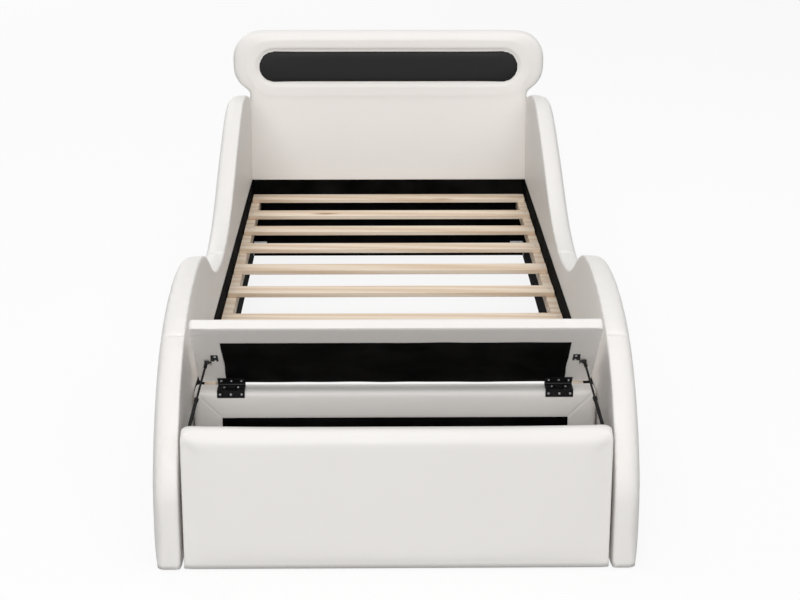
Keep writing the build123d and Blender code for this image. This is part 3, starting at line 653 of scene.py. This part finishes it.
@dataclass
class Panel:
    """One padded panel: a skin over its solids, inflated by cloth simulation, sewn and creased."""

    name: str
    nodes: tuple[str, ...]
    fills: tuple[str, ...]
    body: str
    voxel: float = 10.0 * MM
    pressure: float = 4.0
    cap: float = 4.0 * MM
    shrink: float = 1.2 * MM
    frames: int = 8
    relax: int = 2
    stands: bool = True
    turn: Matrix = field(default_factory=lambda: Matrix.Identity(4))
    seams: tuple[Seam, ...] = ()
    held: Callable[[np.ndarray], np.ndarray] | None = None
    limit: Callable[[np.ndarray], np.ndarray] | None = None
    creases: Callable[[np.ndarray, np.ndarray], np.ndarray] | None = None
    crisp: Callable[[np.ndarray], np.ndarray] | None = None
    slot: Slot = Slot.WHITE_LEATHERETTE

    def build(self, finishes: Finishes) -> bpy.types.Object:
        """Build the panel and put it in the frame.

        Args:
            finishes: The bed's finishes.

        Returns:
            The finished piece, riding on its body.
        """
        obj = joined_copy(self.nodes + self.fills, self.name, self.turn)
        self.skin(obj)
        self.inflate(obj)
        finer = obj.modifiers.new("finer", "SUBSURF")
        finer.levels = finer.render_levels = 1
        baked(obj)
        for seam in self.seams:
            refine(obj, seam)
        self.sew(obj)
        obj.data.transform(self.turn.inverted())
        obj.data.shade_smooth()
        finishes.dress(obj, self.slot)
        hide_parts(*self.nodes)
        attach(obj, self.body)
        LOG.info("%s: %d faces", self.name, len(obj.data.polygons))
        return obj

    def skin(self, obj: bpy.types.Object) -> None:
        """Replace the solids by one even skin."""
        remesh = obj.modifiers.new("skin", "REMESH")
        remesh.mode = "VOXEL"
        remesh.voxel_size = self.voxel
        remesh.adaptivity = 0.0
        relax = obj.modifiers.new("relax", "SMOOTH")
        relax.factor = 0.5
        relax.iterations = self.relax
        baked(obj)
        keep_outer_shell(obj)
        rows = points_of(obj) - normals_of(obj) * self.shrink
        place_points(obj, rows)

    def inflate(self, obj: bpy.types.Object) -> None:
        """Let the padding press the cover out, by a few frames of cloth with pressure."""
        rest = points_of(obj)
        free = np.ones(len(rest)) if self.held is None else 1.0 - self.held(rest)
        pins = obj.vertex_groups.new(name="held")
        for level in range(1, 11):
            chosen = np.nonzero(np.round((1.0 - free) * 10).astype(int) == level)[0]
            if len(chosen):
                pins.add(chosen.tolist(), level / 10, "REPLACE")
        cloth = obj.modifiers.new("cloth", "CLOTH")
        settings = cloth.settings
        settings.vertex_group_mass = pins.name
        settings.quality = 3
        settings.mass = 0.3
        settings.tension_stiffness = 25
        settings.compression_stiffness = 25
        settings.shear_stiffness = 8
        settings.bending_stiffness = 2.0
        settings.use_pressure = True
        settings.uniform_pressure_force = self.pressure
        settings.effector_weights.gravity = 0.0
        scene = bpy.context.scene
        for step in range(1, self.frames + 1):
            scene.frame_set(step)
        graph = bpy.context.evaluated_depsgraph_get()
        mesh = obj.evaluated_get(graph).to_mesh()
        moved = np.zeros(len(mesh.vertices) * 3, np.float32)
        mesh.vertices.foreach_get("co", moved)
        obj.modifiers.clear()
        obj.vertex_groups.clear()
        scene.frame_set(1)
        shift = moved.reshape(-1, 3).astype(float) - rest
        size = np.linalg.norm(shift, axis=1)
        shift *= (np.tanh(size / self.cap) * self.cap / np.maximum(size, 1e-9) * free)[:, None]
        place_points(obj, rest + shift)

    def sew(self, obj: bpy.types.Object) -> None:
        """Draw the cover in at its seams, crease it, and keep it inside its limits."""
        rows, normals = points_of(obj), normals_of(obj)
        if self.crisp is not None:
            rows = rows + normals * self.crisp(normals)[:, None]
        depth = np.zeros(len(rows))
        for seam in self.seams:
            away = seam.distance(rows)
            groove = np.exp(-(away / seam.width) ** 2)
            fan = np.exp(-(away / (6 * seam.width)) ** 2) * ripple(rows, (55, 55, 55), 3.7)
            depth += (seam.depth * groove + seam.pucker * fan * (1 - groove)) * seam.faces(normals)
        if self.creases is not None:
            depth -= self.creases(rows, normals)
        rows = rows - normals * depth[:, None]
        if self.limit is not None:
            rows = self.limit(rows)
        if self.stands:
            rows[:, 2] = np.where(rows[:, 2] < 0.014, 0.0032, rows[:, 2])
        place_points(obj, rows)


@dataclass
class Sheet:
    """A stapled lining: a flat woven sheet that bellies a little off its panel."""

    name: str
    node: str
    body: str
    across: int
    up: int
    normal: tuple[float, float, float]
    turn: Matrix = field(default_factory=lambda: Matrix.Identity(4))
    belly: float = 1.2 * MM
    wave: float = 0.0
    lift: float = 0.6 * MM
    thickness: float = 0.8 * MM
    pitch: float = 12.0 * MM

    def build(self, finishes: Finishes) -> bpy.types.Object:
        """Build the sheet over its CAD node and put it in the frame."""
        solid = frame["nodes"][self.node]
        rows = points_of(solid)
        rows = np.array([self.turn @ Vector(p) for p in rows])
        low, high = rows.min(0), rows.max(0)
        width, height = high[self.across] - low[self.across], high[self.up] - low[self.up]
        columns, lines = max(2, round(width / self.pitch)), max(2, round(height / self.pitch))
        facing = np.array(self.normal, float)
        through = int(np.argmax(np.abs(facing)))
        face = high[through] if facing[through] > 0 else low[through]
        places = []
        for j in range(lines + 1):
            for i in range(columns + 1):
                s, t = i / columns, j / lines
                point = np.zeros(3)
                edge = math.sin(math.pi * min(1.0, 4 * min(s, 1 - s, t, 1 - t)) / 2)
                drift = noise.noise(Vector((s * width * 9, t * height * 9, 5.1)))
                point[self.across] = low[self.across] + s * width
                point[self.up] = low[self.up] + t * height
                if i in (0, columns):
                    sway = noise.noise(Vector((t * height * 14, 2.2, i)))
                    point[self.across] += self.wave * sway * edge_free(t)
                if j in (0, lines):
                    sway = noise.noise(Vector((s * width * 11, 7.2, j)))
                    point[self.up] += self.wave * sway * edge_free(s)
                rise = self.lift + self.belly * edge * (0.5 + 0.5 * drift)
                point[through] = face + facing[through] * rise
                places.append(point)
        faces = []
        for j in range(lines):
            for i in range(columns):
                a = j * (columns + 1) + i
                quad = (a, a + 1, a + columns + 2, a + columns + 1)
                faces.append(quad)
        obj = new_object(self.name, places, faces)
        if normal_of_first(obj).dot(Vector(facing)) < 0:
            obj.data.flip_normals()
        thick = obj.modifiers.new("thickness", "SOLIDIFY")
        thick.thickness = self.thickness
        thick.offset = -1.0
        baked(obj)
        obj.data.transform(self.turn.inverted())
        obj.data.shade_smooth()
        finishes.dress(obj, Slot.BLACK_LINING)
        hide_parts(self.node)
        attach(obj, self.body)
        LOG.info("%s: %d faces", self.name, len(obj.data.polygons))
        return obj


def edge_free(share: float) -> float:
    """Return 0 at both ends of an edge and 1 along it."""
    return math.sin(math.pi * share) ** 0.5 if 0 < share < 1 else 0.0


def normal_of_first(obj: bpy.types.Object) -> Vector:
    """Return the normal of a mesh's first face."""
    return obj.data.polygons[0].normal.copy()


# Studio


@dataclass(frozen=True)
class Camera:
    """The photograph's viewpoint, in metres and degrees in the row frame."""

    place: tuple[float, float, float] = (-0.04355, -4.67555, 1.75166)
    yaw: float = 0.8205
    pitch: float = 16.8473
    roll: float = 0.103
    focal: float = 78.198
    shift: float = -0.05

    def build(self) -> None:
        """Make the camera the scene's own."""
        data = bpy.data.cameras.new("camera")
        data.lens = self.focal
        data.sensor_width = 36.0
        data.shift_y = self.shift
        data.clip_start, data.clip_end = 0.1, 100.0
        obj = bpy.data.objects.new("camera", data)
        yaw, pitch, roll = (math.radians(a) for a in (self.yaw, self.pitch, self.roll))
        ahead = Vector((math.sin(yaw) * math.cos(pitch), math.cos(yaw) * math.cos(pitch), -math.sin(pitch)))
        right = Vector((math.cos(yaw), -math.sin(yaw), 0.0))
        above = right.cross(ahead)
        turned = right * math.cos(roll) + above * math.sin(roll)
        upright = above * math.cos(roll) - right * math.sin(roll)
        columns = Matrix((turned, upright, -ahead)).transposed()
        obj.matrix_world = Matrix.Translation(self.place) @ columns.to_4x4()
        bpy.context.scene.collection.objects.link(obj)
        bpy.context.scene.camera = obj


@dataclass(frozen=True)
class Studio:
    """A white room: a pale floor that keeps the shadow, three soft lamps and an even sky."""

    sky: float = 0.42
    front: float = 900.0
    key: float = 200.0
    fill: float = 200.0
    top: float = 45.0
    back: float = 150.0
    floor_half: float = 30.0
    floor_albedo: float = 0.2
    floor_glow: float = 0.86

    def seen_directly(self, wire: Wiring) -> bpy.types.NodeSocket:
        """Return 1 for what the camera, gloss or glass sees, and 0 for light on the object."""
        path = wire.node("ShaderNodeLightPath")
        total = wire.math("ADD", path.outputs["Is Camera Ray"], path.outputs["Is Glossy Ray"])
        total = wire.math("ADD", total, path.outputs["Is Transmission Ray"])
        return wire.math("MINIMUM", total, 1.0)

    def world(self) -> None:
        """Make the sky."""
        world = bpy.data.worlds.new("sky")
        bpy.context.scene.world = world
        world.use_nodes = True
        wire = Wiring(world.node_tree)
        back = world.node_tree.nodes["Background"]
        back.inputs["Color"].default_value = (1.0, 1.0, 1.0, 1.0)
        level = wire.spread(self.seen_directly(wire), 0.0, 1.0, self.sky, 1.0)
        wire.join(level, back.inputs["Strength"])

    def floor(self) -> None:
        """Make the floor."""
        half = self.floor_half
        plane = new_object("floor", [(-half, -half, 0), (half, -half, 0), (half, half, 0), (-half, half, 0)],
                           [(0, 1, 2, 3)], smooth=False)
        material = bpy.data.materials.new("floor")
        material.use_nodes = True
        wire = Wiring(material.node_tree)
        shader = material.node_tree.nodes["Principled BSDF"]
        level = self.floor_albedo
        seen = self.seen_directly(wire)
        wire.join(wire.mix(seen, (level, level, level), (1.0, 1.0, 1.0)), shader.inputs["Base Color"])
        shader.inputs["Roughness"].default_value = 1.0
        shader.inputs["Specular IOR Level"].default_value = 0.0
        glow = wire.node("ShaderNodeEmission")
        glow.inputs["Color"].default_value = (1.0, 1.0, 1.0, 1.0)
        blend = wire.node("ShaderNodeMixShader")
        wire.join(wire.math("MULTIPLY", seen, self.floor_glow), blend.inputs["Fac"])
        wire.join(shader.outputs["BSDF"], blend.inputs[1])
        wire.join(glow.outputs["Emission"], blend.inputs[2])
        wire.join(blend.outputs["Shader"], material.node_tree.nodes["Material Output"].inputs["Surface"])
        plane.data.materials.append(material)

    def lamp(self, name: str, place: Sequence[float], aim: Sequence[float], size: float,
             power: float) -> None:
        """Hang one soft square lamp."""
        data = bpy.data.lights.new(name, "AREA")
        data.shape = "SQUARE"
        data.size = size
        data.energy = power
        obj = bpy.data.objects.new(name, data)
        obj.location = place
        obj.rotation_euler = (Vector(aim) - Vector(place)).to_track_quat("-Z", "Y").to_euler()
        obj.visible_camera = False
        bpy.context.scene.collection.objects.link(obj)

    def build(self) -> None:
        """Build the room and set the view."""
        self.world()
        self.floor()
        self.lamp("front", (-0.6, -14.0, 4.2), (0.0, 0.0, 0.35), 7.0, self.front)
        self.lamp("key", (-4.6, -9.6, 9.6), (0.0, 0.0, 0.3), 6.0, self.key)
        self.lamp("fill", (5.4, -9.0, 9.0), (0.0, 0.0, 0.3), 6.0, self.fill)
        self.lamp("top", (0.0, 0.4, 4.6), (0.0, 0.2, 0.3), 3.0, self.top)
        self.lamp("back", (-5.0, 9.0, 4.0), (0.0, 0.6, 0.3), 6.0, self.back)
        bpy.context.scene.view_settings.view_transform = "Standard"


# The bed's sub-assemblies


@dataclass
class Bedstead:
    """The fixed padded panels."""

    finishes: Finishes

    def __post_init__(self) -> None:
        """Read the places that the panels share from the frame."""
        self.partition_low, self.partition_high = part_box("partition_cover")
        self.side_low, self.side_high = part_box("side_cover_right")
        self.lining_low, self.lining_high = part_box("side_lining_right")
        self.front_low, self.front_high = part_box("front_panel_cover")

    def sides(self) -> None:
        """Build the right side panel and mirror it to the left."""
        inner, outer = self.side_low.x, self.side_high.x
        lining_top, lining_front = self.lining_high.z, self.lining_low.y
        nose_y, nose_z = self.side_low.y + 0.248, self.side_high.z - 0.153
        trough_y = self.side_low.y + 1.272

        def held(rows: np.ndarray) -> np.ndarray:
            """Return 1 where the cover is stapled or rests, and 0 where it is free."""
            return np.where((rows[:, 2] < 0.02) | (rows[:, 0] < inner + 0.012), 1.0, 0.0)

        def limit(rows: np.ndarray) -> np.ndarray:
            """Return the points kept within the panel's place and behind its lining."""
            rows = rows.copy()
            covered = (rows[:, 2] < lining_top - 0.001) & (rows[:, 1] > lining_front)
            rows[:, 0] = np.clip(rows[:, 0], np.where(covered, inner + 0.0014, inner + 0.0004), outer + 0.003)
            rows[:, 2] = np.maximum(rows[:, 2], 0.003)
            return rows

        def rim(normals: np.ndarray) -> np.ndarray:
            """Return 1 on the rim and 0 on the flat faces."""
            return np.clip(1.35 - 1.3 * np.abs(normals[:, 0]), 0.0, 1.0)

        def crisp(normals: np.ndarray) -> np.ndarray:
            """Return the push that draws the folded edges crisper."""
            inside = normals[:, 0] < 0.05
            return squared(normals[:, 0], np.hypot(normals[:, 1], normals[:, 2]), 0.018) * inside

        def from_nose_seam(rows: np.ndarray) -> np.ndarray:
            """Return the distance to the fender's cross seam, which lies square to its crest."""
            across = (rows[:, 1] - nose_y) * 0.825 + (rows[:, 2] - nose_z) * 0.565
            return np.abs(across) + 3 * (rows[:, 2] < 0.4)

        def from_trough_seam(rows: np.ndarray) -> np.ndarray:
            """Return the distance to the trough's cross seam."""
            return np.abs(rows[:, 1] - trough_y) + 3 * (rows[:, 2] < 0.3)

        seams = (Seam(from_nose_seam, 3.6 * MM, 5.0 * MM, 1.4 * MM, faces=rim),
                 Seam(from_trough_seam, 4.5 * MM, 6.0 * MM, 1.4 * MM, faces=rim))
        right = Panel("side_panel_right", ("side_cover_right",), ("side_board_right", "side_lining_right"),
                      "bedstead", voxel=9 * MM, cap=5 * MM, frames=7, relax=1, held=held, limit=limit,
                      crisp=crisp, seams=seams)
        self.mirrored(right.build(self.finishes), "side_panel_left", "side_cover_left")

    def mirrored(self, right: bpy.types.Object, name: str, node: str) -> None:
        """Make the left piece as the right one's mirror image."""
        mesh = right.data.copy()
        mesh.transform(Matrix.Diagonal((-1, 1, 1, 1)))
        mesh.flip_normals()
        left = bpy.data.objects.new(name, mesh)
        bpy.context.scene.collection.objects.link(left)
        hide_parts(node)
        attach(left, "bedstead")

    def front(self) -> bpy.types.Object:
        """Build the front panel."""
        low, high = self.front_low, self.front_high

        def limit(rows: np.ndarray) -> np.ndarray:
            """Return the points kept within the panel's width."""
            rows = rows.copy()
            rows[:, 0] = np.clip(rows[:, 0], low.x - 0.002, high.x + 0.002)
            return rows

        def crisp(normals: np.ndarray) -> np.ndarray:
            """Return the push that draws the folded edges crisper."""
            return squared(normals[:, 0], normals[:, 1], 0.013)

        return Panel("front_panel", ("front_panel_cover",), ("front_panel_board",), "bedstead", limit=limit,
                     voxel=8 * MM, relax=1, shrink=0.3 * MM, crisp=crisp,
                     held=lambda r: np.where((r[:, 2] < 0.02) | (np.abs(r[:, 0]) > high.x - 0.006), 1.0, 0.0)
                     ).build(self.finishes)

    def partition(self) -> bpy.types.Object:
        """Build the partition between the box and the mattress bay."""
        low, high = self.partition_low, self.partition_high
        corner, inner = high.z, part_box("partition_lining")[1]

        def limit(rows: np.ndarray) -> np.ndarray:
            """Return the points kept within the panel's place and behind its lining."""
            rows = rows.copy()
            behind = (np.abs(rows[:, 0]) < inner.x + 0.002) & (rows[:, 2] < inner.z + 0.002)
            rows[:, 1] = np.clip(rows[:, 1], np.where(behind, low.y + 0.0012, low.y), high.y)
            rows[:, 0] = np.clip(rows[:, 0], low.x, high.x)
            rows[:, 2] = np.clip(rows[:, 2], 0.003, high.z)
            return rows

        def mitre(rows: np.ndarray) -> np.ndarray:
            """Return the distance to the nearer mitred fold."""
            slope = (corner - inner.z) / (high.x - inner.x)
            fold = (corner - rows[:, 2]) - slope * (high.x - np.abs(rows[:, 0]))
            return np.abs(fold) / math.hypot(1, slope) + 3 * (rows[:, 2] < inner.z - 0.004)

        return Panel("partition_panel", ("partition_cover",), ("partition_board", "partition_lining"),
                     "bedstead", voxel=7 * MM, cap=1.0 * MM, shrink=0.8 * MM, relax=1, limit=limit,
                     seams=(Seam(mitre, 1.2 * MM, 3 * MM, 0.3 * MM,
                                 lambda n: np.clip(-n[:, 1] * 1.5, 0.0, 1.0)),)).build(self.finishes)

    def headboard(self) -> bpy.types.Object:
        """Build the headboard."""
        low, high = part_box("headboard_cover")
        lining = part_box("headboard_lining")[1]
        pad_low, pad_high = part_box("headboard_pad")
        radius, middle = (pad_high.z - pad_low.z) / 2, (pad_high.z + pad_low.z) / 2

        def from_pad(rows: np.ndarray) -> np.ndarray:
            """Return the distance outside the pad's outline."""
            reach = np.maximum(np.abs(rows[:, 0]) - (pad_high.x - radius), 0.0)
            return np.hypot(reach, rows[:, 2] - middle) - radius

        def ring(rows: np.ndarray, normals: np.ndarray) -> np.ndarray:
            """Return the raised ring round the pad, and the tuck at its foot."""
            facing = np.clip(-normals[:, 1], 0.0, 1.0)
            away = from_pad(rows)
            crest = np.exp(-((away - 0.026) / 0.017) ** 2) * (away > 0.001)
            return 0.0035 * facing * crest - 0.0025 * facing * np.exp(-((away - 0.002) / 0.004) ** 2)

        def limit(rows: np.ndarray) -> np.ndarray:
            """Return the points kept within the panel's place and behind its lining."""
            rows = rows.copy()
            covered = (rows[:, 2] < lining.z - 0.001) & (np.abs(rows[:, 0]) < lining.x + 0.002)
            beside = (np.abs(rows[:, 0]) > self.side_low.x - 0.001) & (rows[:, 2] < self.side_high.z)
            nearest = np.where(covered, low.y + 0.0014, np.where(beside, low.y + 0.0004, low.y - 0.003))
            rows[:, 1] = np.clip(rows[:, 1], nearest, high.y + 0.003)
            return rows

        return Panel("headboard_panel", ("headboard_cover",), ("headboard_board", "headboard_lining"),
                     "bedstead", voxel=9 * MM, cap=3 * MM, frames=7, limit=limit,
                     creases=ring).build(self.finishes)

    def pad(self) -> bpy.types.Object:
        """Build the black pad in the spoiler."""
        return Panel("spoiler_pad", ("headboard_pad",), (), "bedstead", voxel=6 * MM, cap=4 * MM,
                     shrink=0.6 * MM,
                     stands=False, slot=Slot.BLACK_LEATHERETTE).build(self.finishes)

    def linings(self) -> None:
        """Build the fixed linings."""
        for side in Side:
            Sheet(f"side_lining_sheet_{side.word}", f"side_lining_{side.word}", "bedstead", 1, 2,
                  (-side.value, 0, 0)).build(self.finishes)
        Sheet("headboard_lining_sheet", "headboard_lining", "bedstead", 0, 2, (0, -1, 0)).build(self.finishes)
        Sheet("partition_lining_sheet", "partition_lining", "bedstead", 0, 2, (0, -1, 0)).build(self.finishes)

    def build(self) -> None:
        """Build every fixed panel."""
        self.sides()
        self.front()
        self.partition()
        self.headboard()
        self.pad()
        self.linings()


@dataclass
class Lid:
    """The storage lid, built in its own level frame about the hinge line."""

    finishes: Finishes
    open_angle: float = 45.0

    def __post_init__(self) -> None:
        """Find the hinge line."""
        joint = next(j for j in frame["joints"] if j["name"] == "lid_hinge")
        pin = Vector(joint["pos_m"])
        self.turn = (Matrix.Rotation(math.radians(self.open_angle), 4, "X") @ Matrix.Translation(-pin))

    def level_box(self, node: str) -> tuple[np.ndarray, np.ndarray]:
        """Return a node's corners in the lid's level frame."""
        rows = np.array([self.turn @ v.co for v in frame["nodes"][node].data.vertices])
        return rows.min(0), rows.max(0)

    def build(self) -> None:
        """Build the lid's panel and lining."""
        low, high = self.level_box("lid_cover")
        lining_low, lining = self.level_box("lid_lining")
        lining_reach = -lining_low[1]

        def limit(rows: np.ndarray) -> np.ndarray:
            """Return the points kept within the panel's place and behind its lining."""
            rows = rows.copy()
            rows[:, 0] = np.clip(rows[:, 0], low[0], high[0])
            covered = (np.abs(rows[:, 0]) < lining[0]) & (rows[:, 1] > -lining_reach)
            rows[:, 2] = np.clip(rows[:, 2], np.where(covered, low[2] + 0.0014, low[2]), high[2] + 0.003)
            return rows

        def streaks(rows: np.ndarray, normals: np.ndarray) -> np.ndarray:
            """Return the slack of the cover near the lid's corners."""
            near = np.exp(-((np.abs(rows[:, 0]) - high[0]) / 0.09) ** 2)
            under = np.clip(-normals[:, 2], 0.0, 1.0)
            return 0.0011 * near * under * ripple(rows, (14, 55, 14), 1.3, 3)

        Panel("lid_panel", ("lid_cover",), ("lid_board", "lid_lining"), "lid", voxel=4 * MM, cap=1.5 * MM,
              frames=5, relax=1, stands=False, shrink=0.8 * MM, turn=self.turn, limit=limit,
              creases=streaks).build(self.finishes)
        Sheet("lid_lining_sheet", "lid_lining", "lid", 0, 1, (0, 0, -1), turn=self.turn, belly=2.5 * MM,
              wave=4 * MM).build(self.finishes)


@dataclass
class ScrewSet:
    """The cross-recess pan heads of one group of screws, with their shanks."""

    finishes: Finishes
    node: str
    body: str
    radius: float = 3.0 * MM
    rise: float = 1.1 * MM
    shank: float = 1.5 * MM
    spokes: int = 24

    def places(self) -> list[tuple[Vector, Vector, float]]:
        """Return each screw's head centre, its way in and its length."""
        work = bmesh.new()
        work.from_mesh(frame["nodes"][self.node].data)
        bmesh.ops.remove_doubles(work, verts=work.verts, dist=2e-5)
        found = [self.axis_of([v.co.copy() for v in part]) for part in loose_parts(work)]
        work.free()
        return found

    def axis_of(self, part: Sequence[Vector]) -> tuple[Vector, Vector, float]:
        """Return one screw's head centre, way in and length from its points."""
        rows = np.array(part)
        centre = (rows.max(0) + rows.min(0)) / 2
        way = np.linalg.svd(rows - rows.mean(0), full_matrices=False)[2][0]
        along = (rows - centre) @ way
        across = np.linalg.norm((rows - centre) - along[:, None] * way, axis=1)
        if across[along > along.max() - 1e-4].max() > across[along < along.min() + 1e-4].max():
            way, along = -way, -along
        head = rows[along < along.min() + 1e-4].mean(0)
        return Vector(head), Vector(way), float(along.max() - along.min())

    def recess(self, x: float, y: float) -> float:
        """Return how deep the cross recess is at a point of the head."""
        arm = min(abs(x), abs(y)) < 0.45 * MM and max(abs(x), abs(y)) < 1.9 * MM
        return 0.9 * MM if arm else 0.0

    def build(self) -> None:
        """Build the screws as one piece."""
        rows, faces = [], []
        rings = (0.35, 0.8, 1.25, 1.7, 2.0, 2.4, 2.8, 3.0, 3.0)
        for index, (head, way, length) in enumerate(self.places()):
            base = way.orthogonal().normalized()
            base.rotate(Matrix.Rotation(index * 1.1, 3, way))
            other = way.cross(base)
            first = len(rows)
            rows.append(head - way * (self.rise - 0.9 * MM))
            for k, ring in enumerate(rings):
                reach = ring * MM * self.radius / (3.0 * MM)
                for j in range(self.spokes):
                    turn = 2 * math.pi * j / self.spokes
                    x, y = reach * math.cos(turn), reach * math.sin(turn)
                    dome = self.rise * (1 - (ring / 3.0) ** 4) if k < len(rings) - 1 else -0.6 * MM
                    rows.append(head + base * x + other * y - way * (dome - self.recess(x, y)))
            for depth in (0.6 * MM, length):
                for j in range(self.spokes):
                    turn = 2 * math.pi * j / self.spokes
                    spoke = base * math.cos(turn) + other * math.sin(turn)
                    rows.append(head + spoke * self.shank + way * depth)
            for j in range(self.spokes):
                following = (j + 1) % self.spokes
                faces.append((first, first + 1 + following, first + 1 + j))
                for k in range(len(rings) + 1):
                    low = first + 1 + k * self.spokes
                    high = low + self.spokes
                    faces.append((low + j, low + following, high + following, high + j))
            faces.append(tuple(first + 1 + (len(rings) + 1) * self.spokes + j for j in range(self.spokes)))
        obj = new_object(f"{self.node}_detailed", rows, faces, smooth=False)
        work = bmesh.new()
        work.from_mesh(obj.data)
        bmesh.ops.recalc_face_normals(work, faces=work.faces)
        work.to_mesh(obj.data)
        work.free()
        self.finishes.dress(obj, Slot.ZINC_STEEL)
        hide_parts(self.node)
        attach(obj, self.body)
        LOG.info("%s: %d faces", obj.name, len(faces))


@dataclass
class CarriedOver:
    """The CAD nodes that keep their own shape and take a finish."""

    finishes: Finishes

    def build(self) -> None:
        """Dress every node that is still shown with its record's slot."""
        slots = {part["node"]: part["material_slot"] for part in frame["record"]["subparts"]}
        for name, obj in frame["nodes"].items():
            if not obj.hide_render:
                self.finishes.dress(obj, Slot(slots[name]))


def main() -> None:
    """Build the whole scene."""
    Camera().build()
    Studio().build()
    finishes = Finishes()
    Bedstead(finishes).build()
    Lid(finishes).build()
    for node, body in (("frame_screws", "bedstead"), ("slat_screws", "bedstead"),
                       ("wall_leaf_screws", "bedstead"), ("lid_screws", "lid")):
        ScrewSet(finishes, node, body).build()
    CarriedOver(finishes).build()


if __name__ == "__main__":
    main()
